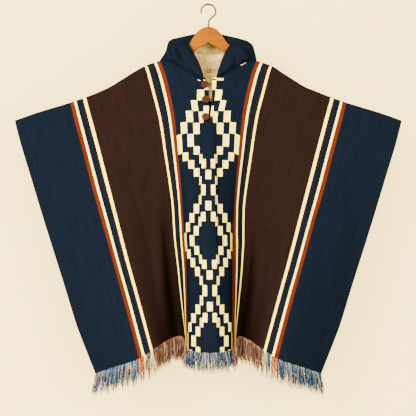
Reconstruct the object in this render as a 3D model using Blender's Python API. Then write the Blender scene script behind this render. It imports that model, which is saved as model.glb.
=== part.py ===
"""A hooded wool poncho with diamond-patterned centre, hanging on a wooden coat hanger.

The garment's front faces -Y and the origin is where a rail bears inside the hook.  The two cloth
walls come from one rule: warp lines run down from the shoulder fold, and a table says how far
each line stands from the middle, and how far forward of the hanging plane, at shares of the drop.
Lengths in the tables are in millimetres, and meshes are in metres.
"""

import math

import bmesh
import bpy
import numpy as np

MM = 0.001

# Cloth
WALL = 3.0             # thickness of the wool
SEAM_GAP = 0.3         # between pieces that are sewn or laid together
FOLD_RADIUS = 11.5     # outside radius of the shoulder fold over the hanger's arms
FOLD_START = 126.0     # flat distance from the middle where the neck edge starts to close
NECK_TIP = 150.0       # flat distance from the middle where the neck slit ends
SLIT_SHARE = 0.146     # share of the drop where the front slit ends
BACK_DEPTH = 0.88      # the back's folds against the front's
TIP_DROP = 961.0       # drop of the warp line at the end of the neck slit
SHARP = 45.0           # degrees between faces that meet in a sharp edge

# Shares of the drop, from the shoulder fold (0) to the hem (1), that the table of lines uses.
SHARES = (0.0, 0.1, 0.2, 0.35, 0.5, 0.65, 0.8, 1.0)

# Warp lines: flat distance from the middle, then distance from the middle as it hangs.
ACROSS = (
    (0.0, (5.0, 1.6, 1.5, 1.5, 1.5, 1.5, 1.5, 1.5)),
    (34.5, (38, 16.5, 16.6, 22.5, 23.7, 24, 23, 22.2)),
    (57.5, (66, 38, 29, 29.5, 31, 32.5, 32, 33)),
    (80.5, (92, 59, 50.5, 47.6, 47.4, 47.2, 46.8, 46.5)),
    (126.5, (139, 110, 96, 85, 76.5, 72.5, 71.3, 71.5)),
    (150.0, (165, 137.5, 118.7, 100.7, 88.1, 79.3, 76.1, 74.7)),
    (206.0, (219, 194, 170, 145, 125, 114, 101, 79)),
    (245.0, (254, 230, 205, 180, 158, 143, 126, 100)),
    (330.0, (325, 302, 278, 248, 219, 193, 168, 136)),
    (432.0, (418, 395, 372, 338, 303, 268, 233, 188)),
    (489.0, (472, 448, 424, 389, 351, 314, 277, 231)),
    (585.0, (565, 540, 514, 477, 438, 400, 362, 305)),
    (682.0, (654, 627, 601, 562, 523, 484, 445, 379)),
)

# The same lines: how far forward of the hanging plane each one stands.
DEPTH = (
    (0.0, (28, 40, 60, 92, 118, 136, 149, 160)),
    (34.5, (27, 38, 56, 87, 113, 131, 144, 155)),
    (57.5, (25, 34, 47, 71, 98, 118, 132, 144)),
    (80.5, (22, 29, 38, 59, 84, 103, 117, 129)),
    (126.5, (16, 22, 27, 37, 56, 72, 83, 92)),
    (150.0, (11.65, 18, 21, 27, 40, 51, 58, 61)),
    (206.0, (11.65, 15, 14.5, 12, 12, 13, 12, 11)),
    (245.0, (11.65, 13, 12, 10.5, 9.5, 9, 8.5, 8.5)),
    (330.0, (11.65, 12, 12, 15, 24, 37, 49, 58)),
    (432.0, (11.65, 12, 15, 29, 53, 78, 100, 116)),
    (489.0, (11.65, 12, 15, 31, 56, 83, 105, 121)),
    (585.0, (11.65, 12, 13, 23, 40, 58, 74, 86)),
    (682.0, (11.65, 12, 12, 14, 18, 24, 30, 36)),
)

# Height of the neck edge and shoulder fold: flat distance, front, back.
TOP = (
    (0.0, -250.0, -228.0),
    (34.5, -244.0, -225.0),
    (80.5, -219.0, -209.0),
    (110.0, -197.0, -194.0),
    (138.0, -188.0, -188.0),
    (150.0, -190.0, -190.0),
    (206.0, -208.0, -208.0),
    (245.0, -227.0, -227.0),
    (294.0, -254.0, -254.0),
    (349.0, -282.0, -282.0),
    (419.0, -309.0, -309.0),
    (502.0, -336.0, -336.0),
    (595.0, -363.0, -363.0),
    (682.0, -391.0, -391.0),
)

# Height of the hem: flat distance, height.
HEM = (
    (0.0, -1159.0),
    (80.0, -1158.0),
    (150.0, -1151.0),
    (206.0, -1134.0),
    (245.0, -1119.0),
    (330.0, -1128.0),
    (432.0, -1156.0),
    (489.0, -1184.0),
    (585.0, -1212.0),
    (682.0, -1242.0),
)

# Grid lines of the walls
COLUMNS = (0, 17, 34.5, 57.5, 80.5, 103, 126.5, 138, 150, 178, 206, 230, 255, 285, 318, 350,
           390, 432, 460, 489, 535, 585, 635, 682)
FOLD_ROWS = 3          # rows that turn the shoulder fold
ROW_SHARES = (0.035, 0.07, 0.11, SLIT_SHARE, 0.2, 0.26, 0.33, 0.4, 0.47, 0.54, 0.61, 0.68, 0.75, 0.82,
              0.88, 0.94, 1.0)

# Fringe
LOCKS = 75             # locks along each hem
LOCK_SHARE = 0.62      # of the pitch that a lock fills
STRIP_HEIGHT = 6.0     # of the strip that the locks' roots are fused in
HEM_GAP = 0.8          # between the hem and the strip
LOCK_LENGTH = 54.0
LOCK_SPREAD = 7.0      # sideways swing of a lock's tip
CORNER_FLARE = 16.0    # outward lean of the last locks at each corner
FLARE_START = 610.0    # flat distance from the middle where the flare starts
WAIST = (0.8, 0.8, 0.3)                # of the root's size, at a lock's waist
WAIST_SHARE = 0.5      # of the lock's length where the waist is
WAIST_SWING = 0.45     # of the tip's swing at the waist

# Hood, wearer's left half, a row per section from the front corner round to the back seam:
# flat place on the neck edge, then four places along the section from just above the seam to
# the face edge, each (x, y, z).  The front sections rise over the hanger's arm, the fifth stands
# on the shoulder, and the back ones hang down as a pouch and rise to the rim behind the wood.
HOOD = (
    (0.0, (6, -27, -246.5), (6.5, -27.5, -244), (7, -27.5, -241), (7.5, -27, -238)),
    (34.5, (31, -33, -236), (25, -35, -228), (20, -34, -220), (16, -30, -213)),
    (80.5, (84, -32, -203), (72, -36, -188), (58, -33, -173), (45, -25, -163)),
    (126.5, (134, -27, -174), (119, -32, -152), (94, -30, -136), (67, -17, -129)),
    (150.0, (151, -7, -160), (138, -8, -122), (106, -3, -107), (74, 0, -113)),
    (126.5, (150, 24, -176), (136, 30, -122), (100, 22, -103), (62, 14, -106)),
    (80.5, (112, 38, -240), (122, 56, -205), (96, 50, -132), (38, 26, -101)),
    (34.5, (46, 44, -290), (56, 72, -268), (46, 66, -165), (18, 32, -99)),
    (0.0, (0, 46, -300), (0, 78, -284), (0, 72, -172), (0, 34, -98)),
)
HOOD_FRONT = (0, 17, 34.5, 57.5, 80.5, 103, 126.5, 138)     # grid columns on the front neck edge
HOOD_BACK = (138, 126.5, 103, 80.5, 57.5, 34.5, 17, 0)      # and on the back
HOOD_ROWS = 12         # grid rows from the neck seam to the face edge
SHOULDER_SEAT = (157.0, 0.0, -185.4)   # the hood's seam over the tip of the neck slit
HOOD_LIFT = 0.9        # of the hood's seam edge over the front's neck edge
LAP_SHARE = 0.004      # how far under the back's edge the hood is lapped on it
LAP_STAND = 2.2        # middle of the hood's thickness from the back's outer face

# Tape over the hood seam, inside the back of the neck
TAPE_HALF = 30.0       # half of its length
TAPE_TOP = 1.0         # below the neck edge
TAPE_HEIGHT = 14.0
TAPE_THICKNESS = 1.0

# Buttons: (x, z) on the slit's edge, and their turned profile as (radius, height)
BUTTONS = ((-13.4, -269.0), (-9.5, -321.0), (-9.5, -379.0))
BUTTON_PROFILE = ((0, 0.5), (3, 0.5), (3, 3.4), (11, 3.4), (13, 4.8), (13, 6.6), (12, 7.6),
                  (9.8, 7.6), (8.8, 6.6), (0, 6.6))
BUTTON_SIDES = 16
LOOP_RADIUS = 1.2      # of the cord
LOOP_HEIGHT = 1.8      # of the cord's centre over the cloth
LOOP_TURN = 4.6        # radius of the cord's bend round the shank
LOOP_END = 12.0        # how far past the middle the cord's ends lie
LOOP_WAY = ((1.0, 0.75), (0.5, 0.9))   # from the cord's end: share of its reach, of its bend
LOOP_STEPS = 6         # of the half turn round the shank
SEAT_PLACES = np.arange(121)           # flat distances searched for the seat of a button
SEAT_PASSES = 20       # of the search

# Hanger
WOOD_HALF = 6.5        # half of the wood's thickness
WOOD_ROUND = 5.5       # radius of its edges
WOOD_END = 0.7         # of both, at the bow's two ends
ROUND_STEPS = 3        # of each rounded edge
WOOD_SEAT = 4.7        # from the top of the shoulder fold down to the wood's top
WOOD_OUTLINE = (       # distance from the middle, top (None under the fold), underside
    (0.0, -76.0, -126.0),
    (12.0, -77.5, -128.0),
    (30.0, -84.0, -139.0),
    (49.0, -102.0, -154.0),
    (68.0, -127.0, -167.0),
    (90.0, -147.0, -181.0),
    (115.0, -165.0, -195.0),
    (135.0, -183.0, -209.0),
    (150.0, -193.2, -218.0),
    (165.0, None, -224.0),
    (192.0, None, -231.0),
    (206.0, None, -234.0),
    (219.0, None, -236.0),
    (225.0, -219.5, -234.0),
)
WIRE = 1.75            # radius of the hook's wire
HOOK_RADIUS = 25.0     # of the wire's centre line
STEM_X = 1.0
HOOK_NECK = ((0.0, 0.0), (0.0, 10.0), (0.6, 19.0), (6.0, 28.5), (15.5, 36.5))  # from its foot
ARC_START = -22.0      # degrees from the right, where the arc starts
HOOK_SWEEP = 190.0     # degrees from the right round to the free tip
ARC_STEPS = 18
HOOK_POINTS = 34       # along the whole wire
CURVE_STEPS = 24       # between two places that a curve is drawn through


def smooth(places, values, at):
    """A curve through the values that never swings past them (monotone cubic)."""
    places = np.asarray(places, float)
    values = np.asarray(values, float)
    at = np.clip(np.asarray(at, float), places[0], places[-1])
    step = np.diff(places)
    slope = np.diff(values, axis=0) / step
    ends = slope[:-1] * slope[1:]
    tangent = np.zeros_like(values)
    tangent[0] = slope[0]
    tangent[-1] = slope[-1]
    sums = slope[:-1] + slope[1:]
    safe = np.where(ends > 0, sums, 1.0)
    tangent[1:-1] = np.where(ends > 0, 2 * ends / safe, 0.0)
    index = np.clip(np.searchsorted(places, at, side="right") - 1, 0, len(places) - 2)
    t = (at - places[index]) / step[index]
    rise = t * t * (3 - 2 * t)
    return (values[index] * (1 - rise) + values[index + 1] * rise
            + tangent[index] * step[index] * t * (1 - t) ** 2
            - tangent[index + 1] * step[index] * t * t * (1 - t))


def lines_at(table, share):
    """Value of each warp line of a table at one share of the drop."""
    return [float(smooth(SHARES, values, share)) for _, values in table]


def neck_closing(flat):
    """How far the neck edges have closed into the shoulder fold, from 0 to 1."""
    share = np.clip((flat - FOLD_START) / (NECK_TIP - FOLD_START), 0, 1)
    return share * share * (3 - 2 * share)


def cloth_row(flat, share, side):
    """Points of the outer face along one row; side is -1 for the front and 1 for the back."""
    flat = np.asarray(flat, float)
    places = [row[0] for row in ACROSS]
    across = smooth(places, lines_at(ACROSS, share), flat)
    depth = smooth(places, lines_at(DEPTH, share), flat)
    if side > 0:
        depth = FOLD_RADIUS + (depth - FOLD_RADIUS) * BACK_DEPTH
    top = smooth([row[0] for row in TOP], [row[1 if side < 0 else 2] for row in TOP], flat)
    hem = smooth([row[0] for row in HEM], [row[1] for row in HEM], flat)
    radius = FOLD_RADIUS * neck_closing(flat) + 0.001
    spare = (math.pi / 2 - 1) * radius
    fall = share * (top - hem + spare)
    turn = np.minimum(fall / radius, math.pi / 2)
    forward = depth - radius * (1 - np.sin(turn))
    height = np.where(turn < math.pi / 2, top - radius * (1 - np.cos(turn)), top - fall + spare)
    return np.stack([across, side * forward, height], axis=-1)


def cloth_faces(flat, share, side):
    """Outer and inner points of a row, WALL apart along the cloth's normal."""
    flat = np.asarray(flat, float)
    near = 0.5
    ahead = min(share + 1e-4, 1.0)
    row = cloth_row(flat, share, side)
    along = cloth_row(flat + near, share, side) - cloth_row(np.maximum(flat - near, 0), share, side)
    down = cloth_row(flat, ahead, side) - cloth_row(flat, ahead - 1e-4, side)
    normal = np.cross(along, down) * side
    if share == 0:
        normal[flat >= FOLD_START, 1] *= 1 - neck_closing(flat[flat >= FOLD_START])
    normal /= np.linalg.norm(normal, axis=-1, keepdims=True)
    inner = row - normal * WALL
    if share == 1.0:
        inner[:, 2] = row[:, 2]
    return row, inner


def fold_shares():
    """Shares of the rows that turn the fold, then those that run down the wall."""
    quarter = FOLD_RADIUS * math.pi / 2
    return [quarter * i / FOLD_ROWS / TIP_DROP for i in range(FOLD_ROWS + 1)] + list(ROW_SHARES)


def mirrored(points):
    """A half's columns, mirrored in the middle plane and joined with the half itself."""
    left = points[:, ::-1].copy()
    left[..., 0] *= -1
    return np.concatenate([left, points], axis=1)


def new_object(name, verts, faces, material):
    """An object from points in millimetres, its faces turned outward."""
    mesh = bpy.data.meshes.new(name)
    shape = bmesh.new()
    made = [shape.verts.new([c * MM for c in vert]) for vert in verts]
    for face in faces:
        shape.faces.new([made[i] for i in face])
    bmesh.ops.recalc_face_normals(shape, faces=shape.faces)
    shape.to_mesh(mesh)
    shape.free()
    mesh.shade_smooth()
    mesh.set_sharp_from_angle(angle=math.radians(SHARP))
    mesh.materials.append(material)
    obj = bpy.data.objects.new(name, mesh)
    bpy.context.scene.collection.objects.link(obj)
    return obj


def wall(name, outer, inner, keep, material):
    """A closed wall between two grids of points; keep says which cells hold cloth."""
    rows, cols = outer.shape[:2]
    verts = []
    index = {}

    def corner(face, i, j):
        key = (face, i, j)
        if key not in index:
            index[key] = len(verts)
            verts.append((outer if face == 0 else inner)[i, j])
        return index[key]

    faces = []
    for i in range(rows - 1):
        for j in range(cols - 1):
            if not keep(i, j):
                continue
            cell = ((i, j), (i, j + 1), (i + 1, j + 1), (i + 1, j))
            faces.append([corner(0, *c) for c in cell])
            faces.append([corner(1, *c) for c in reversed(cell)])
            beside = ((i - 1, j), (i, j + 1), (i + 1, j), (i, j - 1))
            for k, (a, b) in enumerate(beside):
                inside = 0 <= a < rows - 1 and 0 <= b < cols - 1 and keep(a, b)
                if not inside:
                    start, end = cell[k], cell[(k + 1) % 4]
                    faces.append([corner(0, *end), corner(0, *start),
                                  corner(1, *start), corner(1, *end)])
    return new_object(name, verts, faces, material)


def finish(name, colour, roughness, metallic=0.0):
    """A plain Principled material."""
    material = bpy.data.materials.new(name)
    material.use_nodes = True
    shader = material.node_tree.nodes["Principled BSDF"]
    shader.inputs["Base Color"].default_value = (*colour, 1.0)
    shader.inputs["Roughness"].default_value = roughness
    shader.inputs["Metallic"].default_value = metallic
    return material


def make_wall(name, side, material):
    """Front or back wall; the front is slit down the middle from the neck."""
    shares = fold_shares()
    rows = [cloth_faces(COLUMNS, share, side) for share in shares]
    outer = mirrored(np.array([row[0] for row in rows]))
    inner = mirrored(np.array([row[1] for row in rows]))
    middle = len(COLUMNS) - 1
    slit_rows = shares.index(SLIT_SHARE) if side < 0 else 0
    return wall(name, outer, inner, lambda i, j: j != middle or i >= slit_rows, material)


def hood_sections():
    """Columns of the hood: the seam's two edges, or none where it laps, and the section."""
    tip = (len(HOOD) - 1) // 2
    flats = [row[0] for row in HOOD]
    sections = []
    for half, stations in ((-1, HOOD_FRONT), (0, (NECK_TIP,)), (1, HOOD_BACK)):
        for flat in stations:
            if half < 0:
                place = float(np.interp(flat, flats[:tip + 1], range(tip + 1)))
            else:
                place = tip + float(np.interp(-flat, [-f for f in flats[tip:]], range(tip + 1)))
            path = [[float(smooth(range(len(HOOD)), [row[k][axis] for row in HOOD], place))
                     for axis in range(3)] for k in range(1, 5)]
            edges = None
            if half == 0:
                base = SHOULDER_SEAT
            elif half < 0 and flat < NECK_TIP - FOLD_RADIUS * 2:
                outer, inner = cloth_faces([flat], 0, half)
                lift = np.array((0, 0, HOOD_LIFT))
                edges = (outer[0] + lift, inner[0] + lift)
                base = (edges[0] + edges[1]) / 2
            else:
                outer, inner = cloth_faces([flat], LAP_SHARE if half > 0 else 0, half)
                base = outer[0] + (outer[0] - inner[0]) / WALL * LAP_STAND
            sections.append((edges, [base] + path))
    return sections


def through(points, count):
    """A rounded curve through a few points, as evenly spaced points."""
    points = np.asarray(points, float)
    ends = np.vstack([2 * points[0] - points[1], points, 2 * points[-1] - points[-2]])
    fine = []
    for i in range(1, len(ends) - 2):
        a, b, c, d = ends[i - 1:i + 3]
        for t in np.linspace(0, 1, CURVE_STEPS, endpoint=False):
            fine.append(0.5 * (2 * b + (c - a) * t + (2 * a - 5 * b + 4 * c - d) * t * t
                               + (3 * b - a - 3 * c + d) * t ** 3))
    fine = np.array(fine + [points[-1]])
    run = np.concatenate([[0], np.cumsum(np.linalg.norm(np.diff(fine, axis=0), axis=1))])
    at = np.linspace(0, run[-1], count)
    return np.stack([np.interp(at, run, fine[:, k]) for k in range(3)], axis=-1)


def make_hood(name, sign, material):
    """One half of the hood, from the neck seam to the face edge; sign is its side in x."""
    sections = hood_sections()
    middle = np.array([through(path, HOOD_ROWS + 1) for _, path in sections]).swapaxes(0, 1)
    normal = np.cross(np.gradient(middle, axis=1), np.gradient(middle, axis=0))
    normal[:, -1, 0] = 0
    normal /= np.linalg.norm(normal, axis=-1, keepdims=True)
    outer = middle - normal * WALL / 2
    inner = middle + normal * WALL / 2
    for column, (edges, _) in enumerate(sections):
        if edges:
            outer[0, column], inner[0, column] = edges
    for grid in (outer, inner):
        grid[:, -1, 0] = SEAM_GAP / 2
        grid[..., 0] *= sign
    return wall(name, outer, inner, lambda i, j: True, material)


def make_tape(material):
    """Strip on the inside of the back, under the neck edge."""
    drop = TOP[0][2] - HEM[0][1]
    half = np.array((0, TAPE_HALF / 2, TAPE_HALF))
    near = []
    far = []
    for fall in (TAPE_TOP, TAPE_TOP + TAPE_HEIGHT / 2, TAPE_TOP + TAPE_HEIGHT):
        outer, inner = cloth_faces(half, fall / drop, 1)
        inward = (inner - outer) / WALL
        near.append(inner + inward * SEAM_GAP)
        far.append(inner + inward * (SEAM_GAP + TAPE_THICKNESS))
    return wall("neck_tape", mirrored(np.array(far)), mirrored(np.array(near)),
                lambda i, j: True, material)


def seat_on_front(x, z):
    """Point of the front's outer face at x and z, with the cloth's two directions there."""
    share = 0.1
    for _ in range(SEAT_PASSES):
        row = cloth_row(SEAT_PLACES, share, -1)
        flat = float(np.interp(abs(x), row[:, 0], SEAT_PLACES))
        height = float(np.interp(flat, SEAT_PLACES, row[:, 2]))
        share += (height - z) / (TOP[0][1] - HEM[0][1])
    outer, inner = cloth_faces([flat], share, -1)
    out = (outer[0] - inner[0]) / WALL
    place = outer[0].copy()
    if x < 0:
        place[0] *= -1
        out[0] *= -1
    right = np.cross(out, (0, 0, 1.0))
    right *= np.sign(right[0]) / np.linalg.norm(right)
    up = np.cross(out, right)
    up *= np.sign(up[2])
    return place, right, up, out


def make_button(name, x, z, material):
    """A turned button with a shank, standing on the slit's edge."""
    place, right, up, out = seat_on_front(x, z)
    verts = []
    for radius, height in BUTTON_PROFILE:
        count = BUTTON_SIDES if radius else 1
        for k in range(count):
            angle = 2 * math.pi * k / count
            verts.append(place + out * height
                         + radius * (right * math.cos(angle) + up * math.sin(angle)))
    last = len(verts) - 1
    faces = []
    rings = len(BUTTON_PROFILE) - 2
    for k in range(BUTTON_SIDES):
        after = (k + 1) % BUTTON_SIDES
        faces.append((0, 1 + after, 1 + k))
        faces.append((last, last - BUTTON_SIDES + k, last - BUTTON_SIDES + after))
        for ring in range(rings - 1):
            low = 1 + ring * BUTTON_SIDES
            high = low + BUTTON_SIDES
            faces.append((low + k, low + after, high + after, high + k))
    return new_object(name, verts, faces, material)


def tube(name, points, radius, resolution, material):
    """A round bar or cord along points in millimetres."""
    curve = bpy.data.curves.new(name, "CURVE")
    curve.dimensions = "3D"
    curve.bevel_depth = radius * MM
    curve.bevel_resolution = resolution
    curve.use_fill_caps = True
    spline = curve.splines.new("POLY")
    spline.points.add(len(points) - 1)
    for point, place in zip(spline.points, points):
        point.co = (*(c * MM for c in place), 1.0)
        point.radius = 1.0
    spline.use_smooth = True
    curve.materials.append(material)
    obj = bpy.data.objects.new(name, curve)
    bpy.context.scene.collection.objects.link(obj)
    return obj


def make_loop(name, x, z, material):
    """Cord that bends round a button's shank and ends on the slit's other edge."""
    place, right, up, out = seat_on_front(x, z)
    centre = place + out * LOOP_HEIGHT
    reach = LOOP_END - x
    points = [centre + right * reach * far - up * LOOP_TURN * wide for far, wide in LOOP_WAY]
    for k in range(LOOP_STEPS + 1):
        angle = -math.pi / 2 - math.pi * k / LOOP_STEPS
        points.append(centre + LOOP_TURN * (right * math.cos(angle) + up * math.sin(angle)))
    points += [centre + right * reach * far + up * LOOP_TURN * wide
               for far, wide in reversed(LOOP_WAY)]
    return tube(name, points, LOOP_RADIUS, 1, material)


def lock_sway(k):
    """Uneven swing of a lock's tip and its length, by a fixed rule."""
    return math.sin(2.4 * k + 1.3 * math.sin(0.7 * k)), 1.0 + 0.1 * math.sin(3.1 * k + 0.5)


def make_fringe(name, side, material):
    """Strip along the hem with tapering four-sided locks that hang from it."""
    half = COLUMNS[-1]
    pitch = 2 * half / LOCKS
    hem = cloth_faces(COLUMNS, 1.0, side)
    verts = []
    faces = []
    previous = None

    def section(flat):
        """Four corners of the strip: outer top, outer bottom, inner bottom, inner top."""
        outer, inner = (np.array([np.interp(abs(flat), COLUMNS, face[:, axis])
                                  for axis in range(3)]) for face in hem)
        sign = 1 if flat >= 0 else -1
        first = len(verts)
        for point, fall in ((outer, 0), (outer, STRIP_HEIGHT), (inner, STRIP_HEIGHT), (inner, 0)):
            verts.append(point * (sign, 1, 1) - (0, 0, HEM_GAP + fall))
        return [first, first + 1, first + 2, first + 3]

    for k in range(LOCKS):
        middle = -half + (k + 0.5) * pitch
        for start in (True, False):
            flat = middle + pitch * LOCK_SHARE / 2 * (-1 if start else 1)
            if k == 0 and start:
                flat = -half
            if k == LOCKS - 1 and not start:
                flat = half
            ring = section(flat)
            if previous is None:
                faces.append(ring)
            else:
                for a, b in ((0, 1), (2, 3), (3, 0)):
                    faces.append((previous[a], ring[a], ring[b], previous[b]))
                if start:
                    faces.append((previous[1], ring[1], ring[2], previous[2]))
                else:
                    add_lock(verts, faces, previous, ring, k, middle)
            previous = ring
    faces.append(previous[::-1])
    return new_object(name, verts, faces, material)


def add_lock(verts, faces, before, after, k, flat):
    """One lock under the strip: four sides down to a narrower waist, then to a tip."""
    sway, stretch = lock_sway(k)
    root = [before[1], after[1], after[2], before[2]]
    corners = np.array([verts[i] for i in root])
    centre = corners.mean(axis=0)
    flare = CORNER_FLARE * max(0.0, (abs(flat) - FLARE_START) / (COLUMNS[-1] - FLARE_START))
    swing = LOCK_SPREAD * sway + math.copysign(flare, flat)
    waist = len(verts)
    for corner in corners:
        verts.append(centre + (corner - centre) * WAIST
                     + (swing * WAIST_SWING, 0, -LOCK_LENGTH * WAIST_SHARE * stretch))
    verts.append(centre + (swing, 0, -LOCK_LENGTH * stretch))
    for a in range(4):
        b = (a + 1) % 4
        faces.append((root[a], root[b], waist + b, waist + a))
        faces.append((waist + a, waist + b, waist + 4))


def make_wood(material):
    """The hanger's bow: rounded sections from one end to the other."""
    fold = cloth_row(COLUMNS, 0, -1)
    half = [(x, float(np.interp(x, fold[:, 0], fold[:, 2])) - WOOD_SEAT if top is None else top,
             under) for x, top, under in WOOD_OUTLINE]
    stations = [(-x, top, under) for x, top, under in reversed(half[1:])] + half
    verts = []
    for x, top, under in stations:
        end = abs(x) == half[-1][0]
        thick = WOOD_HALF * (WOOD_END if end else 1.0)
        radius = WOOD_ROUND * (WOOD_END if end else 1.0)
        for quarter, (cy, cz) in enumerate(((1, 1), (-1, 1), (-1, -1), (1, -1))):
            middle = top - radius if cz > 0 else under + radius
            for k in range(ROUND_STEPS + 1):
                angle = math.pi / 2 * (quarter + k / ROUND_STEPS)
                verts.append((x, cy * (thick - radius) + radius * math.cos(angle),
                              middle + radius * math.sin(angle)))
    ring = 4 * (ROUND_STEPS + 1)
    faces = [tuple(range(ring)), tuple(range(len(verts) - 1, len(verts) - 1 - ring, -1))]
    for station in range(len(stations) - 1):
        for k in range(ring):
            after = (k + 1) % ring
            a = station * ring
            faces.append((a + k, a + after, a + ring + after, a + ring + k))
    return new_object("hanger_wood", verts, faces, material)


def make_hook(material):
    """Wire hook: a stem from the wood, a bend to the right and an arc round to the free tip."""
    centre = (0.0, -(HOOK_RADIUS - WIRE))
    foot = WOOD_OUTLINE[0][1] + SEAM_GAP
    neck = [(STEM_X + across, 0, foot + rise) for across, rise in HOOK_NECK]
    arc = []
    for k in range(ARC_STEPS + 1):
        angle = math.radians(ARC_START + (HOOK_SWEEP - ARC_START) * k / ARC_STEPS)
        arc.append((centre[0] + HOOK_RADIUS * math.cos(angle), 0,
                    centre[1] + HOOK_RADIUS * math.sin(angle)))
    points = through(neck + arc, HOOK_POINTS)
    points[0] = neck[0]
    return tube("hanger_hook", points, WIRE, 2, material)


def build():
    """Every sub-part of the garment and its hanger."""
    for obj in list(bpy.data.objects):
        bpy.data.objects.remove(obj, do_unlink=True)
    wool = finish("striped_wool", (0.016, 0.030, 0.060), 0.9)
    hood = finish("navy_wool", (0.013, 0.024, 0.046), 0.9)
    fringe = finish("warp_fringe", (0.16, 0.13, 0.12), 0.95)
    tape = finish("tan_tape", (0.60, 0.40, 0.18), 0.85)
    cord = finish("tan_cord", (0.55, 0.36, 0.16), 0.8)
    nut = finish("brown_button", (0.20, 0.055, 0.028), 0.5)
    beech = finish("lacquered_wood", (0.87, 0.32, 0.04), 0.35)
    steel = finish("steel_wire", (0.10, 0.10, 0.11), 0.35, 1.0)
    make_wall("front", -1, wool)
    make_wall("back", 1, wool)
    make_hood("hood_left", 1, hood)
    make_hood("hood_right", -1, hood)
    make_tape(tape)
    for number, (x, z) in enumerate(BUTTONS, 1):
        make_button(f"button_{number}", x, z, nut)
        make_loop(f"loop_{number}", x, z, cord)
    make_fringe("fringe_front", -1, fringe)
    make_fringe("fringe_back", 1, fringe)
    make_wood(beech)
    make_hook(steel)


build()
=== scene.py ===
import functools
import math

import bmesh
import bpy
import numpy as np
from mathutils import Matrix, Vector


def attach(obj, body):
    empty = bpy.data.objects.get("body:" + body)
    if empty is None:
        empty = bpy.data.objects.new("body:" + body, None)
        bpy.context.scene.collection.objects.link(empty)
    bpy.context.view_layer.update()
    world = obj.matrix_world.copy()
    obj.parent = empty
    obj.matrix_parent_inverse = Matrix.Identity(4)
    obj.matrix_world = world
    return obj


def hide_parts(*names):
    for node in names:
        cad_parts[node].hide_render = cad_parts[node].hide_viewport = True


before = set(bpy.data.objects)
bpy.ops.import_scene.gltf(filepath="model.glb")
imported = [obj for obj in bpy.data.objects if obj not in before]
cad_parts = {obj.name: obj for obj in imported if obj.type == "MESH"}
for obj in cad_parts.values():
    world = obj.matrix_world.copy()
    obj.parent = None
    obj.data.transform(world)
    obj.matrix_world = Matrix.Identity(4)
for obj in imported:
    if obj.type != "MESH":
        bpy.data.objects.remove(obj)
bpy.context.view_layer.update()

# The garment's front faces -Y and the origin is where a rail bears inside the hook.  Lengths in
# the tables are in millimetres.


# ---- The woven length ------------------------------------------------
# One length of warp-faced wool, hand-woven with the stripes in its warp and a stepped diamond
# panel in the middle.  It is slit for the neck and down the breast, and is folded over the hanger.

WOOL_THICK = 1.8
FOLD_RADIUS = 11.5    # of the shoulder fold over the hanger
FOLD_START = 126.0    # flat distance where the neck edges begin to close
NECK_TIP = 150.0      # flat distance where the neck slit ends
SLIT_SHARE = 0.146    # share of the drop where the breast slit ends
BACK_DEPTH = 0.88     # how far the back's folds stand off, against the front's
HALF_WIDTH = 682.0
MIDDLE_DROP = 909.0   # from the neck edge to the hem at the middle
SIDE_DROP = 931.0     # from the shoulder fold to the hem
LONGEST_DROP = 960.0

# Warp lines: flat distance from the middle, then distance from the middle as it hangs, at shares
# of the drop from the shoulder fold (0) to the hem (1).
SHARES = (0, 0.1, 0.2, 0.35, 0.5, 0.65, 0.8, 1)
ACROSS = (
    (0, (5, 1.6, 1.5, 1.5, 1.5, 1.5, 1.5, 1.5)),
    (34.5, (38, 16.5, 16.6, 22.5, 23.7, 24, 23, 22.2)),
    (57.5, (66, 38, 29, 29.5, 31, 32.5, 32, 33)),
    (80.5, (92, 59, 50.5, 47.6, 47.4, 47.2, 46.8, 46.5)),
    (126.5, (139, 110, 96, 85, 76.5, 72.5, 71.3, 71.5)),
    (150, (165, 137.5, 118.7, 100.7, 88.1, 79.3, 76.1, 74.7)),
    (206, (219, 194, 170, 145, 125, 114, 101, 79)),
    (245, (254, 230, 205, 180, 158, 143, 126, 100)),
    (330, (325, 302, 278, 248, 219, 193, 168, 136)),
    (432, (418, 395, 372, 338, 303, 268, 231, 184)),
    (489, (472, 450, 427, 392, 353, 315, 277, 231)),
    (585, (565, 545, 519, 482, 442, 402, 362, 305)),
    (682, (655, 633, 607, 568, 528, 487, 446, 379)),
)

# The same lines: how far each one stands off the hanging plane.
DEPTH = (
    (0, (28, 40, 60, 92, 118, 136, 149, 160)),
    (34.5, (27, 38, 56, 87, 113, 131, 144, 155)),
    (57.5, (25, 34, 47, 71, 98, 118, 132, 144)),
    (80.5, (22, 29, 38, 59, 84, 103, 117, 129)),
    (126.5, (16, 22, 27, 37, 56, 72, 83, 92)),
    (150, (11.65, 18, 21, 27, 40, 51, 58, 61)),
    (206, (11.65, 15, 14.5, 12, 12, 13, 12, 11)),
    (245, (11.65, 13, 12, 10.5, 9.5, 9, 8.5, 8.5)),
    (330, (11.65, 12, 12, 15, 24, 37, 49, 58)),
    (432, (11.65, 12, 15, 29, 53, 78, 100, 116)),
    (489, (11.65, 12, 15, 31, 56, 83, 105, 121)),
    (585, (11.65, 12, 13, 23, 40, 58, 74, 86)),
    (682, (11.65, 12, 12, 14, 18, 24, 30, 36)),
)

# Height of the neck edge and shoulder fold (flat distance, front, back) and of the hem.
TOP = (
    (0, -250, -228), (34.5, -244, -225), (80.5, -219, -209),
    (110, -197, -194), (138, -188, -188), (150, -190, -190),
    (206, -208, -208), (245, -227, -227), (294, -254, -254),
    (349, -282, -282), (419, -309, -309), (502, -336, -336),
    (595, -363, -363), (682, -391, -391),
)
HEM = (
    (0, -1159), (80, -1158), (150, -1151), (206, -1134), (245, -1119),
    (330, -1128), (432, -1156), (489, -1184), (585, -1212), (682, -1242),
)

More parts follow.
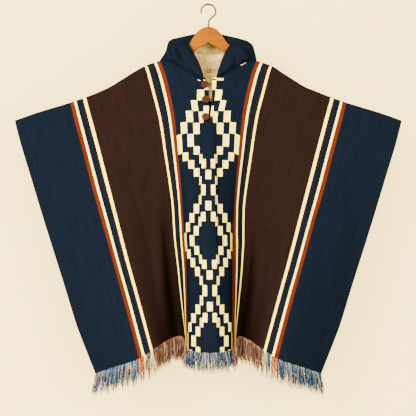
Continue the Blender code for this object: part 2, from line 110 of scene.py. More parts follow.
# Rows of the diamond chart: height on the panel, row.  A diamond's middle is a multiple of 11.2
# rows.  Above the breast the cloth tips back under the hood, so rows crowd and are skipped, and
# the wearer's right half (-1) and left half (1) of the neck have rows of their own.
CHART_ROWS = (
    (-1159, 23.6), (-1124, 22.4), (-956, 16.8), (-795, 11.2), (-626, 5.6),
    (-473, 0), (-361, -3), (-269, -5.6),
)
NECK_ROWS = {
    -1: ((-260, -6.1), (-257, -6.6), (-256.5, -5.7), (-187, -5.7)),
    1: ((-258, -6.15), (-252.5, -6.8), (-252, -5.7), (-208, -5.7), (-207.5, -9.5),
        (-201, -9.8), (-200.5, -5.7), (-187, -5.7)),
}
CHART_COLUMN = 23.0   # mm
HALF_REPEAT = 5.6     # rows from a diamond's middle to its end
OUTER_STEPS, INNER_STEPS = 6.5, 4.1   # columns from the middle at a diamond's widest row
PANEL_HALF = 147.7    # the pattern stops at this flat distance
BAND_MIDDLE, BAND_HALF = 177, 30.0  # of the striped band beside the middle ridge
RIB_SPACE, PICK_SPACE = 1.1, 2.6      # of the weave, mm

# Creases: side (-1 front, 1 back), height of the ridge or trough, half width, path of (x, z).
CREASES = (
    (-1, -4.5, 6.5, ((112, -735), (175, -748), (244, -806))),
    (-1, -3.5, 6, ((-346, -310), (-273, -570), (-217, -737), (-172, -945))),
    (-1, -4, 15, ((-172, -520), (-200, -600), (-222, -680))),
    (-1, 11, 19, ((-172, -600), (-166, -800), (-154, -960), (-132, -1110))),
    (-1, -6, 13, ((-134, -620), (-124, -820), (-110, -1000), (-94, -1120))),
    (-1, 8.5, 18, ((162, -640), (162, -800), (152, -960), (130, -1110))),
    (-1, -5, 12, ((130, -640), (122, -820), (108, -1000), (92, -1120))),
    (-1, 2, 16, ((-150, -700), (-160, -860), (-150, -1040))),
    (-1, 2.5, 18, ((-232, -560), (-248, -760), (-226, -960))),
    (-1, -2, 14, ((205, -620), (196, -820), (176, -1010))),
    (-1, 2.5, 20, ((268, -520), (262, -740), (232, -960))),
    (-1, 3, 24, ((-470, -520), (-452, -760), (-404, -1010))),
    (-1, -3, 26, ((-530, -560), (-505, -800), (-440, -1080))),
    (-1, 3, 24, ((452, -500), (440, -740), (392, -1000))),
    (-1, -3, 26, ((530, -600), (500, -830), (446, -1080))),
    (1, 3, 24, ((-452, -520), (-436, -760), (-392, -1010))),
    (1, -3, 26, ((520, -560), (495, -800), (440, -1080))),
    (1, 2.5, 18, ((238, -560), (250, -760), (222, -960))),
    (1, -2, 14, ((-200, -640), (-192, -820), (-170, -1010))),
    (1, -2.5, 12, ((-96, -470), (-88, -640), (-78, -820))),
)


def linear(code):
    """A linear colour with alpha from an sRGB hex code."""
    parts = [int(code[i:i + 2], 16) / 255 for i in (0, 2, 4)]
    return (*(p / 12.92 if p < 0.04045 else ((p + 0.055) / 1.055) ** 2.4 for p in parts), 1.0)


def node(tree, kind, inputs=(), stops=(), blend="LINEAR", **settings):
    """Adds a shader node with its settings, its inputs as values or links by order or by name,
    and a colour ramp's stops as (place, hex code); returns its outputs."""
    made = tree.nodes.new("ShaderNode" + kind)
    for name, value in settings.items():
        setattr(made, name, value)
    for key, value in inputs.items() if isinstance(inputs, dict) else enumerate(inputs):
        if isinstance(value, bpy.types.NodeSocket):
            tree.links.new(value, made.inputs[key])
        else:
            made.inputs[key].default_value = value
    if stops:
        made.color_ramp.interpolation = blend
        steps = made.color_ramp.elements
        while len(steps) < len(stops):
            steps.new(1.0)
        for step, (place, code) in zip(steps, stops):
            step.position = place
            step.color = linear(code)
    return made.outputs


def emptied(made):
    """A material or world with no nodes, and the function that adds one to it."""
    made.use_nodes = True
    made.node_tree.nodes.clear()
    return made, functools.partial(node, made.node_tree)


def material(name):
    """An empty material, and the function that adds a node to it."""
    return emptied(bpy.data.materials.new(name))


def surface(add, colour, height=None, strength=0.3, depth=0.0005, roughness=0.95, shine=0.0,
            **more):
    """Ends a material with one surface, matt unless said, and a relief of so many metres."""
    look = {"Base Color": colour, "Roughness": roughness, "Specular IOR Level": shine}
    look.update((name.replace("_", " ").title(), value) for name, value in more.items())
    if height is not None:
        look["Normal"] = add("Bump",
                             {"Height": height, "Strength": strength, "Distance": depth})[0]
    add("OutputMaterial", add("BsdfPrincipled", look)[:1])


def smooth(places, values, at):
    """A curve through the values that never swings past them (monotone cubic)."""
    places = np.asarray(places, float)
    values = np.asarray(values, float)
    at = np.clip(np.asarray(at, float), places[0], places[-1])
    step = np.diff(places)
    slope = np.diff(values, axis=0) / step
    ends = slope[:-1] * slope[1:]
    tangent = np.zeros_like(values)
    tangent[0] = slope[0]
    tangent[-1] = slope[-1]
    sums = slope[:-1] + slope[1:]
    tangent[1:-1] = np.where(ends > 0, 2 * ends / np.where(ends > 0, sums, 1.0), 0.0)
    index = np.clip(np.searchsorted(places, at, side="right") - 1, 0, len(places) - 2)
    t = (at - places[index]) / step[index]
    rise = t * t * (3 - 2 * t)
    return (values[index] * (1 - rise) + values[index + 1] * rise
            + tangent[index] * step[index] * t * (1 - t) ** 2
            - tangent[index + 1] * step[index] * t * t * (1 - t))


def neck_closing(flat):
    """How far the neck edges have closed into the shoulder fold, from 0 to 1."""
    share = np.clip((flat - FOLD_START) / (NECK_TIP - FOLD_START), 0, 1)
    return share * share * (3 - 2 * share)


def cloth_row(flat, share, side):
    """Points of the outer face along one row; side is -1 for the front and 1 for the back."""
    flat = np.asarray(flat, float)
    places = [row[0] for row in ACROSS]
    across = smooth(places, [float(smooth(SHARES, v, share)) for _, v in ACROSS], flat)
    depth = smooth(places, [float(smooth(SHARES, v, share)) for _, v in DEPTH], flat)
    if side > 0:
        depth = FOLD_RADIUS + (depth - FOLD_RADIUS) * BACK_DEPTH
    top = smooth([row[0] for row in TOP], [row[1 if side < 0 else 2] for row in TOP], flat)
    hem = smooth([row[0] for row in HEM], [row[1] for row in HEM], flat)
    radius = FOLD_RADIUS * neck_closing(flat) + 0.001
    spare = (math.pi / 2 - 1) * radius
    fall = share * (top - hem + spare)
    turn = np.minimum(fall / radius, math.pi / 2)
    forward = depth - radius * (1 - np.sin(turn))
    height = np.where(turn < math.pi / 2, top - radius * (1 - np.cos(turn)), top - fall + spare)
    return np.stack([across, side * forward, height], axis=-1)


def near_path(x, z, path):
    """Distance of each place from a path, and a fade towards the path's two ends."""
    path = np.asarray(path, float)
    legs = np.diff(path, axis=0)
    runs = np.concatenate([[0], np.cumsum(np.linalg.norm(legs, axis=1))])
    best = np.full(x.shape, np.inf)
    along = np.zeros(x.shape)
    for start, leg, run in zip(path[:-1], legs, runs[:-1]):
        length = np.linalg.norm(leg)
        t = np.clip(((x - start[0]) * leg[0] + (z - start[1]) * leg[1]) / length ** 2, 0, 1)
        away = np.hypot(x - start[0] - t * leg[0], z - start[1] - t * leg[1])
        along = np.where(away < best, (run + t * length) / runs[-1], along)
        best = np.minimum(best, away)
    return best, np.sin(math.pi * np.clip(along, 0, 1)) ** 0.7


def raised(grid, rise, width, path):
    """How far each point of a grid is raised by a ridge along a path, as a last axis of one."""
    distance, fade = near_path(grid[..., 0], grid[..., 2], path)
    return (rise * fade * np.exp(-(distance / width) ** 2))[..., None]


def grid_normals(grid, sign):
    """Unit normals of a grid of points, rows down and columns across."""
    normal = np.cross(np.gradient(grid, axis=1), np.gradient(grid, axis=0)) * sign
    return normal / np.maximum(np.linalg.norm(normal, axis=-1, keepdims=True), 1e-9)


def grid_quads(numbers, turned=False):
    """Quads between the points of a numbered grid, turned over where asked."""
    quads = np.stack([numbers[:-1, :-1], numbers[1:, :-1], numbers[1:, 1:], numbers[:-1, 1:]], -1)
    return quads[..., ::-1] if turned else quads


def placed(data):
    """An object of its data's own name, put into the scene."""
    made = bpy.data.objects.new(data.name, data)
    bpy.context.scene.collection.objects.link(made)
    return made


def meshed(name, points, faces, maps, finishes, slots=None):
    """A smooth mesh through points in millimetres, with a value for each point in each map."""
    mesh = bpy.data.meshes.new(name)
    mesh.from_pydata((points * 0.001).tolist(), [], faces)
    corners = np.zeros(len(mesh.loops), int)
    mesh.loops.foreach_get("vertex_index", corners)
    for title, values in maps.items():
        layer = mesh.uv_layers.new(name=title)
        layer.data.foreach_set("uv", values[corners].astype(np.float32).ravel())
    for finish in finishes:
        mesh.materials.append(finish)
    if slots:
        mesh.polygons.foreach_set("material_index", slots)
    mesh.polygons.foreach_set("use_smooth", [True] * len(faces))
    return mesh


def shell(name, outer, inner, quads, maps, finishes, inner_slots=None):
    """A closed thin shell between two sets of points, with the same maps on both faces."""
    count = len(outer)
    faces = quads + [[i + count for i in reversed(quad)] for quad in quads]
    edges = dict.fromkeys(pair for quad in quads for pair in zip(quad, quad[1:] + quad[:1]))
    rims = [[b, a, a + count, b + count] for a, b in edges if (b, a) not in edges]
    slots = [0] * len(quads) + (inner_slots or [0] * len(quads)) + [0] * len(rims)
    mesh = meshed(name, np.concatenate([outer, inner]), faces + rims,
                  {title: np.concatenate([values] * 2) for title, values in maps.items()},
                  finishes, slots)
    mesh.set_sharp_from_angle(angle=math.radians(60))
    return placed(mesh)


def sheet_of(name, outer, inner, size, finishes, hand=0, start=0.0, inner_slots=None):
    """A shell between two grids of points, laid out flat as a sheet of this size in metres; hand
    is the side, -1 or 1, of a piece made as a mirrored pair."""
    rows, columns = outer.shape[:2]
    cloth = np.stack(np.meshgrid(np.linspace(0, size[0], columns) + start,
                                 np.linspace(0, size[1], rows)), -1)
    quads = grid_quads(np.arange(rows * columns).reshape(rows, columns), hand > 0)
    quads = np.roll(quads, hand, -1)
    return shell(name, outer.reshape(-1, 3), inner.reshape(-1, 3), quads.reshape(-1, 4).tolist(),
                 {"Cloth": cloth.reshape(-1, 2)}, finishes, inner_slots)


# Hand-spun wool, dyed in the yarn and woven warp-faced.  It gives the eye dull deep panels without
# a shine, ribbed along the warp and a little flecked, and stripes and steps with ragged edges.
# The ribs are as far apart as woven.  Dye streaks 3 mm and flecks 5 mm wide stand for those of
# single yarns, which are too fine to show.
NAVY, BROWN, CREAM, RUST = "0A0F16", "190E0A", "FBDC60", "491A0A"
STRIPES = ((0.0, NAVY), (148.0, RUST), (161.0, CREAM), (169.5, NAVY), (184.0, BROWN),
           (194.5, CREAM), (205.0, BROWN), (427.0, CREAM), (437.0, BROWN), (447.5, NAVY),
           (462.0, CREAM), (470.5, RUST), (483.5, NAVY))
striped_wool, add = material("striped warp-faced wool")
cloth_map = add("UVMap", uv_map="Cloth")[0]
chart_map = add("UVMap", uv_map="Chart")[0]
yarn_wobble = add("TexNoise", {"Vector": cloth_map, "Scale": 450.0, "Detail": 2.0})
place = add("SeparateXYZ", (cloth_map,))
away = add("Math", (place[0],), operation="ABSOLUTE")[0]
jitter = add("Math", (yarn_wobble[0], 0.0016, -0.0008), operation="MULTIPLY_ADD")[0]
away = add("Math", (away, jitter), operation="ADD")[0]
share = add("Math", (away, HALF_WIDTH / 1000), operation="DIVIDE")[0]
stops = [(flat / HALF_WIDTH, code) for flat, code in STRIPES]
stripes = add("ValToRGB", (share,), stops, "CONSTANT")[0]

step = add("SeparateXYZ", (chart_map,))
wander = add("Math", (yarn_wobble[0], 0.08, -0.04), operation="MULTIPLY_ADD")[0]
column = add("Math", (step[0],), operation="ABSOLUTE")[0]
column = add("Math", (column, wander), operation="ADD")[0]
column = add("Math", (column, 0.5), operation="ADD")[0]
column = add("Math", (column,), operation="FLOOR")[0]
row = add("Math", (step[1], wander), operation="ADD")[0]
outer_row = add("Math", (row, HALF_REPEAT), operation="PINGPONG")[0]
outer_mid = add("Math", (OUTER_STEPS, column), operation="SUBTRACT")[0]
outer_step = add("Math", (outer_row, outer_mid, 0.5), operation="COMPARE")[0]
# The upper inner steps sit a little low, and the two columns at the middle are cut short.
lifted = add("MapRange", (row, 1.5, 4.5, 0.3, 0.0))[0]
inner_row = add("Math", (row, lifted), operation="ADD")[0]
inner_row = add("Math", (inner_row, HALF_REPEAT), operation="PINGPONG")[0]
first = add("Math", (column, 1.0, 0.5), operation="COMPARE")[0]
middle = add("Math", (column, 0.0, 0.5), operation="COMPARE")[0]
inner_mid = add("Math", (INNER_STEPS, column), operation="SUBTRACT")[0]
inner_mid = add("Math", (first, -0.45, inner_mid), operation="MULTIPLY_ADD")[0]
inner_mid = add("Math", (middle, -0.25, inner_mid), operation="MULTIPLY_ADD")[0]
inner_step = add("Math", (inner_row, inner_mid, 0.49), operation="COMPARE")[0]
steps = add("Math", (outer_step, inner_step), operation="MAXIMUM")[0]
panel = add("Math", (away, PANEL_HALF / 1000), operation="LESS_THAN")[0]
steps = add("Math", (steps, panel), operation="MULTIPLY")[0]
dyed = add("Mix", {0: steps, 6: stripes, 7: linear(CREAM)}, data_type="RGBA")[2]

streak_place = add("Mapping", {0: cloth_map, "Scale": (340.0, 8.0, 1.0)})[0]
streaks = add("TexNoise", {"Vector": streak_place, "Scale": 1.0, "Detail": 3.0})[0]
streaks = add("MapRange", (streaks, 0.3, 0.7, 0.8, 1.2))[0]
flecks = add("TexNoise", {"Vector": cloth_map, "Scale": 190.0, "Detail": 4.0})[0]
flecks = add("MapRange", (flecks, 0.3, 0.7, 0.72, 1.28))[0]
streaks_and_painted_shade = add("Math", (streaks, flecks), operation="MULTIPLY")[0]
# Shade is painted into the colour deep between the folds, darker where a point is more hidden, but
# not on the band beside the ridge.
painted_fold_shade = add("AmbientOcclusion", {"Distance": 0.16}, samples=6)["AO"]
painted_fold_shade = add("MapRange", (painted_fold_shade, 0.45, 0.85, 0.35, 1.0))[0]
band = add("Math", (away, BAND_MIDDLE / 1000, BAND_HALF / 1000), operation="COMPARE")[0]
painted_fold_shade = add("Math", (painted_fold_shade, band), operation="MAXIMUM")[0]
streaks_and_painted_shade = add("Math", (streaks_and_painted_shade, painted_fold_shade), operation="MULTIPLY")[0]
wool_colour_and_painted_shade = add("VectorMath", {0: dyed, "Scale": streaks_and_painted_shade}, operation="SCALE")[0]
rib = add("Math", (place[0], 2000 * math.pi / RIB_SPACE), operation="MULTIPLY")[0]
rib = add("Math", (rib,), operation="SINE")[0]
pick = add("Math", (place[1], 2000 * math.pi / PICK_SPACE), operation="MULTIPLY")[0]
pick = add("Math", (pick,), operation="SINE")[0]
weave = add("Math", (rib, pick), operation="MULTIPLY")[0]
weave = add("Math", (rib, weave), operation="ADD")[0]
nap = add("TexNoise", {"Vector": cloth_map, "Scale": 900.0, "Detail": 3.0})[0]
relief = add("Math", (nap, 2.0, weave), operation="MULTIPLY_ADD")[0]
surface(add, wool_colour_and_painted_shade, relief, 0.35, 0.0004)

# How the front hangs apart from the tables.  The slit's button edge laps past the middle and its
# loop edge stands off it, by share of the drop.
SLIT_LAP = ((0, 0.015, 0.035, 0.1, SLIT_SHARE, 0.2), (-5, -4, 4, 3.5, 2, 0))
SLIT_STAND = ((0, 0.02, 0.04, 0.1, SLIT_SHARE, 0.2), (7, 8.5, 10, 10.5, 5, 0))
SLIT_REACH = 40.0
# Shifts sideways, by depth under the rail and then by flat distance: the ridge leans towards the
# wearer's left at the hem, the bands are pulled in under the neck, and beside the ridge the rust
# and cream stripes stay in sight, more so on the wearer's left.
RIDGE_LEAN = (((780, 900, 1160), (0, 4.5, 6.0)), ((0, 206, 330), (1, 0.9, 0)))
BAND_PULL = (((190, 230, 380, 500), (0, 4, 3.5, 0)), ((100, 150, 206, 300), (0, 1, 1, 0)))
SHOWN_LEFT = (((680, 800), (0, 1)), ((150, 161, 206, 260), (0, 8.5, 8, 0)))
SHOWN_RIGHT = (((680, 800), (0, 1)), ((150, 161, 206, 240), (0, 3, 2, 0)))
# The cloth sags a little between the hanger's end and the shoulder, by x and by share.
SAG = (((226, 250, 320, 360), (0, 3.5, 3.5, 0)), ((0, 0.12), (1, 0)))


def both(first, second, tables):
    """Product of two tables, each (places, values), looked up at two sets of places."""
    return np.interp(first, *tables[0]) * np.interp(second, *tables[1])


half_columns = np.concatenate([np.linspace(0, NECK_TIP, 27),
                               np.linspace(NECK_TIP, HALF_WIDTH, 60)[1:]])
flats = np.concatenate([-half_columns[::-1], half_columns])
signs = np.concatenate([-np.ones(len(half_columns)), np.ones(len(half_columns))])
aside = np.abs(flats)
fold_share = FOLD_RADIUS * math.pi / 2 / LONGEST_DROP
shares = np.concatenate([np.linspace(0, fold_share, 5),
                         np.linspace(fold_share, SLIT_SHARE, 18)[1:],
                         np.linspace(SLIT_SHARE, 1, 98)[1:]])
slit_row = int(np.argmin(np.abs(shares - SLIT_SHARE)))
sides = {}
for side in (-1, 1):
    grid = np.array([cloth_row(aside, share, side) for share in shares])
    grid[..., 0] *= signs
    if side < 0:
        near_slit = np.clip(1 - aside / SLIT_REACH, 0, 1) ** 1.5
        laps = np.interp(shares, *SLIT_LAP)[:, None]
        stands = np.interp(shares, *SLIT_STAND)[:, None]
        grid[..., 0] += near_slit * np.where(signs < 0, laps, stands)
        depth = -grid[..., 2]
        grid[..., 0] += both(depth, aside, RIDGE_LEAN)
        grid[..., 0] -= signs * both(depth, aside, BAND_PULL)
        grid[..., 0] += both(depth, flats, SHOWN_LEFT) - both(depth, -flats, SHOWN_RIGHT)
    grid[..., 2] -= both(grid[..., 0], shares[:, None], SAG)
    normal = grid_normals(grid, side)
    for crease_side, rise, width, path in CREASES:
        if crease_side == side:
            grid = grid + normal * raised(grid, rise, width, path)
    sides[side] = [grid, grid_normals(grid, side)]

# Front and back share their points along the shoulder fold.
fold = aside >= NECK_TIP
crest = (sides[-1][1][0] + sides[1][1][0])[fold]
crest /= np.linalg.norm(crest, axis=-1, keepdims=True)
for side in (-1, 1):
    sides[side][0][0, fold, 1] = 0.0
    sides[side][1][0, fold] = crest
ranks = np.arange(len(shares) * len(flats)).reshape(len(shares), len(flats))
numbers = {-1: ranks, 1: ranks + ranks.size}
numbers[1][0, fold] = ranks[0, fold]
front_quads = grid_quads(numbers[-1])
whole = np.ones(front_quads.shape[:2], bool)
whole[:slit_row, len(half_columns) - 1] = False
quads = np.concatenate([front_quads[whole], grid_quads(numbers[1], True).reshape(-1, 4)])
outer = np.concatenate([sides[s][0].reshape(-1, 3) for s in (-1, 1)])
inner = np.concatenate([(sides[s][0] - sides[s][1] * WOOL_THICK).reshape(-1, 3) for s in (-1, 1)])

# How much of the chart beside the slit is tucked under, by share of the drop, and from which x
# the steps near the neck count; there they stay upright while the cloth below them spreads.
TUCKED = ((0, 0.06, 0.09, 0.13, SLIT_SHARE, 0.22), (20, 20, 27, 27, 22, 0))
TUCKED_MOST = 18.0    # on the wearer's right
TUCK_REACH = 34.5
FIRST_STEP = {-1: ((0, 0.006, 0.012), (0, 0, 14.2)), 1: ((0, 0.1), (28, 21.5))}
UPRIGHT = (((0.08, 0.14), (1, 0)), ((50, 85), (1, 0)))   # by share, by x
# The rows droop towards the panel's edge, less at the neck: by flat distance.
NECK_HEIGHT = -240.0
NECK_DROOP = ((106, 124), (0, -14))
PANEL_DROOP = ((100, 126, 150), (0, 2, 9))
CLOTH_DROP = 0.93     # metres of cloth from fold to hem, for the yarns' unevenness

cloth_uv = []
chart_uv = []
for side in (-1, 1):
    grid = sides[side][0]
    tucked = np.interp(shares, *TUCKED)[:, None]
    hidden = np.where(signs < 0, np.minimum(tucked, TUCKED_MOST), tucked)
    seen = np.where(aside < TUCK_REACH,
                    hidden + aside / TUCK_REACH * (TUCK_REACH - hidden), aside)
    chart_rows = np.zeros(grid.shape[:2])
    droop = np.where(grid[..., 2] > NECK_HEIGHT, np.interp(aside, *NECK_DROOP),
                     np.interp(aside, *PANEL_DROOP))
    out = np.abs(grid[..., 0])
    for half in (-1, 1):
        upright = TUCK_REACH + (out - np.interp(shares, *FIRST_STEP[half])[:, None])
        near_neck = both(shares[:, None], out, UPRIGHT) * (signs == half) * (side < 0)
        seen = seen + (upright - seen) * near_neck
        table = CHART_ROWS + NECK_ROWS[half]
        read = np.interp(grid[..., 2] + droop, [z for z, _ in table], [row for _, row in table])
        chart_rows = np.where(signs == half, read, chart_rows)
    chart_uv.append(np.stack([seen * signs / CHART_COLUMN, chart_rows], -1))
    run = shares[:, None] * side * CLOTH_DROP
    cloth_uv.append(np.stack(np.broadcast_arrays(flats / 1000, run), -1))
maps = {"Cloth": np.concatenate(cloth_uv).reshape(-1, 2),
        "Chart": np.concatenate(chart_uv).reshape(-1, 2)}
kept = np.zeros(len(outer), bool)
kept[quads] = True
quads = (np.cumsum(kept) - 1)[quads].tolist()
length = shell("woven_length", outer[kept], inner[kept], quads,
               {title: values[kept] for title, values in maps.items()}, [striped_wool])
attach(length, "root")
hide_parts("front", "back")


# ---- Fringe ----------------------------------------------------------
# The warp ends of the length, left loose and knotless below the hem.  They keep the colours of
# the stripes that they run out of, mixed with cream ends of the pattern's hidden warp.

YARNS = 1900          # a side
YARN_RADIUS = 0.85
YARN_PARTS = 5
YARN_REACH = ((0, 130, 200, 682), (62, 65, 80, 78))   # by flat distance
YARN_CUT = (0.74, 1.08)   # share of the reach at which the ends are worn off
YARN_TAPER = ((0, 0.8, 1), (1, 0.95, 0.35))
CLUMP = 11.0          # yarns gather to points this far apart
GATHER = 0.6
CLUMP_LEAN, YARN_LEAN, YARN_BOW = 5.0, 4.5, 3.0
FLARE, FLARE_FROM = 15.0, 600.0
UP_IN_HEM = 1.5

# Unspun ends of the same wool, opened by wear.  They give the eye a soft fringe, paler and
# brighter than the dense cloth, each strand of its own shade and a few of them undyed.
warp_ends, add = material("loose warp ends of wool")
yarn_map = add("UVMap", uv_map="Yarn")[0]
place = add("SeparateXYZ", (yarn_map,))
NAVY_END, RUST_END, CREAM_END, BROWN_END = "20384C", "963E02", "D8C080", "583629"
END_STRIPES = ((0.0, NAVY_END), (146.0, RUST_END), (163.0, CREAM_END), (169.5, NAVY_END),
               (184.0, BROWN_END), (194.5, CREAM_END), (205.0, BROWN_END), (427.0, CREAM_END),
               (437.0, BROWN_END), (447.5, NAVY_END), (456.0, CREAM_END), (463.0, RUST_END),
               (484.0, NAVY_END))
stops = [(flat / HALF_WIDTH, code) for flat, code in END_STRIPES]
ends = add("ValToRGB", (place[0],), stops, "CONSTANT")[0]
strand_shade = add("MapRange", (place[1], 0, 0.7, 0.45, 1.45))[0]
ends = add("VectorMath", {0: ends, "Scale": strand_shade}, operation="SCALE")[0]
undyed = add("MapRange", (place[1], 0.7, 0.8, 0, 0.65))[0]
ends = add("Mix", {0: undyed, 6: ends, 7: linear("B49E76")}, data_type="RGBA")[2]
surface(add, ends)


def yarns(name, side):
    """Loose ends along one hem: thin three-sided strands that wave, cross and clump."""
    rng = np.random.default_rng(7 if side < 0 else 11)
    grid, normal = sides[side]
    order = np.argsort(flats + signs * 1e-6)
    hem = grid[-1][order] - normal[-1][order] * WOOL_THICK / 2
    spots = (np.arange(YARNS) + rng.random(YARNS)) / YARNS * 2 * HALF_WIDTH - HALF_WIDTH
    roots = np.stack([np.interp(spots, flats[order], hem[:, k]) for k in range(3)], -1)
    roots[:, 1] += rng.uniform(-0.7, 0.7, YARNS)
    roots[:, 2] += UP_IN_HEM
    clump = np.round(spots / CLUMP) + 1000
    lean = np.sin(clump * 2.4 + 1.3 * np.sin(clump * 0.7)) * CLUMP_LEAN
    lean += rng.normal(0, YARN_LEAN, YARNS)
    flared = np.clip((np.abs(spots) - FLARE_FROM) / (HALF_WIDTH - FLARE_FROM), 0, 1)
    flare = FLARE * flared * np.sign(spots)
    reach = np.interp(np.abs(spots), *YARN_REACH)
    reach *= (1 + 0.1 * np.sin(clump * 3.1)) * rng.uniform(*YARN_CUT, YARNS)
    bow = rng.normal(0, YARN_BOW, (YARNS, 2))
    wave = rng.uniform(0, 2 * math.pi, (YARNS, 2))
    down = np.linspace(0, 1, YARN_PARTS + 1)
    paths = np.zeros((YARNS, YARN_PARTS + 1, 3))
    gather = ((clump - 1000) * CLUMP - spots) * GATHER
    for k, t in enumerate(down):
        paths[:, k, 0] = (roots[:, 0] + (lean + flare) * t ** 1.3 + gather * t
                          + bow[:, 0] * math.sin(math.pi * t) + np.sin(wave[:, 0] + 6 * t) * t)
        paths[:, k, 1] = roots[:, 1] + bow[:, 1] * t + np.sin(wave[:, 1] + 5 * t) * 1.2 * t
        paths[:, k, 2] = roots[:, 2] - reach * t
    verts = np.zeros((YARNS, YARN_PARTS + 1, 3, 3))
    for corner in range(3):
        angle = 2 * math.pi * corner / 3
        size = YARN_RADIUS * np.interp(down, *YARN_TAPER)
        verts[:, :, corner] = paths
        verts[:, :, corner, 0] += size * math.cos(angle)
        verts[:, :, corner, 1] += size * math.sin(angle)
    per = (YARN_PARTS + 1) * 3
    local = []
    for k in range(YARN_PARTS):
        for corner in range(3):
            a, b = k * 3 + corner, k * 3 + (corner + 1) % 3
            local.append((a, b, b + 3, a + 3))
    faces = (np.array(local)[None] + (np.arange(YARNS) * per)[:, None, None]).reshape(-1, 4)
    values = np.stack([np.abs(spots) / HALF_WIDTH, rng.random(YARNS)], -1)
    return placed(meshed(name, verts.reshape(-1, 3), faces.tolist(),
                         {"Yarn": np.repeat(values, per, axis=0)}, [warp_ends]))


for name, side, stood_for in (("fringe_of_front", -1, "fringe_front"),
                              ("fringe_of_back", 1, "fringe_back")):
    fringe = yarns(name, side)
    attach(fringe, "root")
    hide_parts(stood_for)


# ---- Hood ------------------------------------------------------------
# Two halves in navy wool with an undyed beige inside, joined by a seam over the crown and sewn to
# the neck edge.  Its front corners stand round the hanger's arms and its back hangs as a pouch.

HOOD_THICK = 2.2
HOOD_COLUMNS, HOOD_ROWS = 129, 49
HOOD_FLAT = (0.42, 0.24)   # metres of cloth round the neck and from neck to face edge
SEAM_PART = 0.02
SHOULDER_SEAT = (157.0, 0.0, -185.4)
TIP_FROM, TIP_RUN = 116.0, 22.0   # flat distance where the seam turns outward to the seat
SEAM_IN, SEAM_OFF = -1.0, 2.2     # the seam is let into the cloth in front, and lies on it behind
TIP_SHIFT = (0, -0.5, -3.0)       # of the seam at the seat
SEAM_RISE, SEAM_FALL = 0.9, 0.004   # over the front's edge; share of the drop under the back's
# The wearer's right half (-1) and left half (1), a row per section from the front corner round to
# the back seam: flat place on the neck edge, then four places from just above the neck seam to
# the face edge, each (x, y, z) with x away from the middle.  The last rows are the pouch's.
POUCH = (
    (34.5, (46, 44, -290), (56, 72, -268), (46, 66, -165), (10, 31, -99)),
    (0, (0, 46, -300), (0, 78, -284), (0, 72, -172), (0, 34, -98)),
)
HOOD = {
    -1: (
        (12, (16, -28, -255), (16, -28.5, -252), (16.5, -28.5, -248), (17, -28, -244)),
        (34.5, (36, -35, -238), (33, -37, -229), (30.5, -36, -219), (28.5, -31, -207)),
        (80.5, (84, -33, -205), (74, -37, -190), (62, -36, -175), (51, -27, -160)),
        (126.5, (132, -27, -176), (118, -33, -152), (92, -31, -138), (65, -14, -131)),
        (150, (143, -7, -158), (131, -8, -123), (91, -4, -110), (46, 2, -99)),
        (126.5, (146, 24, -176), (128, 28, -124), (86, 22, -113), (32, 14, -100)),
        (80.5, (112, 38, -240), (120, 56, -205), (92, 50, -134), (20, 24, -100)),
        *POUCH,
    ),
    1: (
        (24, (28, -28, -250), (28, -28.5, -247), (28.5, -28.5, -244), (29, -28, -240)),
        (42, (44, -35, -235), (42, -37, -227), (40.5, -36, -217), (39.5, -31, -206)),
        (80.5, (86, -33, -204), (78, -37, -190), (68, -36, -175), (58, -27, -160)),
        (126.5, (136, -27, -176), (122, -33, -152), (98, -31, -141), (71, -14, -137)),
        (150, (157, -7, -163), (143, -8, -130), (104, -4, -115), (48, 2, -101)),
        (126.5, (154, 24, -178), (138, 28, -131), (96, 22, -118), (34, 14, -101)),
        (80.5, (112, 38, -240), (122, 56, -205), (94, 50, -138), (20, 24, -101)),
        *POUCH,
    ),
}
HOOD_TIP = 4
FACE_HEM = ((100, 116), (14, 5))   # rows turned in at the face edge, by column
# Folds of each half, seen from the front: whether on its front, height, half width, path (x, z).
HOOD_FOLDS = {
    -1: ((True, -6, 6, ((-134, -126), (-117, -138), (-94, -134), (-66, -129))),
         (True, -6, 6.5, ((-109, -142), (-98, -173), (-86, -206))),
         (True, 6, 9, ((-122, -146), (-114, -172), (-100, -206))),
         (True, -4, 5, ((-143, -156), (-124, -170), (-110, -192))),
         (True, 4, 10, ((-72, -146), (-66, -186), (-44, -226))),
         (False, 6, 5, ((-80, -152), (-35, -160), (20, -157))),
         (False, -6, 7, ((-70, -168), (-35, -174), (20, -171))),
         (False, -3, 3.5, ((0, -120), (0, -310)))),
    1: ((True, -6, 6, ((146, -133), (118, -130), (91, -138), (69, -129))),
        (True, -6, 6.5, ((112, -140), (136, -160), (154, -184))),
        (True, 6, 9, ((98, -150), (118, -170), (138, -194))),
        (True, -4, 6, ((76, -154), (96, -190), (86, -226))),
        (True, 4, 10, ((64, -164), (70, -196), (58, -228))),
        (False, 6, 5, ((80, -154), (35, -159), (-20, -162))),
        (False, -6, 7, ((70, -170), (35, -174), (-20, -175))),
        (False, -3, 3.5, ((0, -120), (0, -310)))),
}

# The length's navy wool, cut lighter and brushed.  It gives the eye a matt, almost black blue with
# a soft nap, and shade painted into its colour in its folds.  The ribs are drawn 2.2 mm apart,
# twice as far as woven, and the dye streaks 1.7 mm wide, so that they show.
hood_wool, add = material("navy hood wool")
hood_map = add("UVMap", uv_map="Cloth")[0]
streak_place = add("Mapping", {0: hood_map, "Scale": (600.0, 12.0, 1.0)})[0]
streaks = add("TexNoise", {"Vector": streak_place, "Scale": 1.0, "Detail": 3.0})[0]
hood_dye_and_painted_shade = add("ValToRGB", (streaks,), ((0.3, "070B10"), (0.7, "0D121A")))[0]
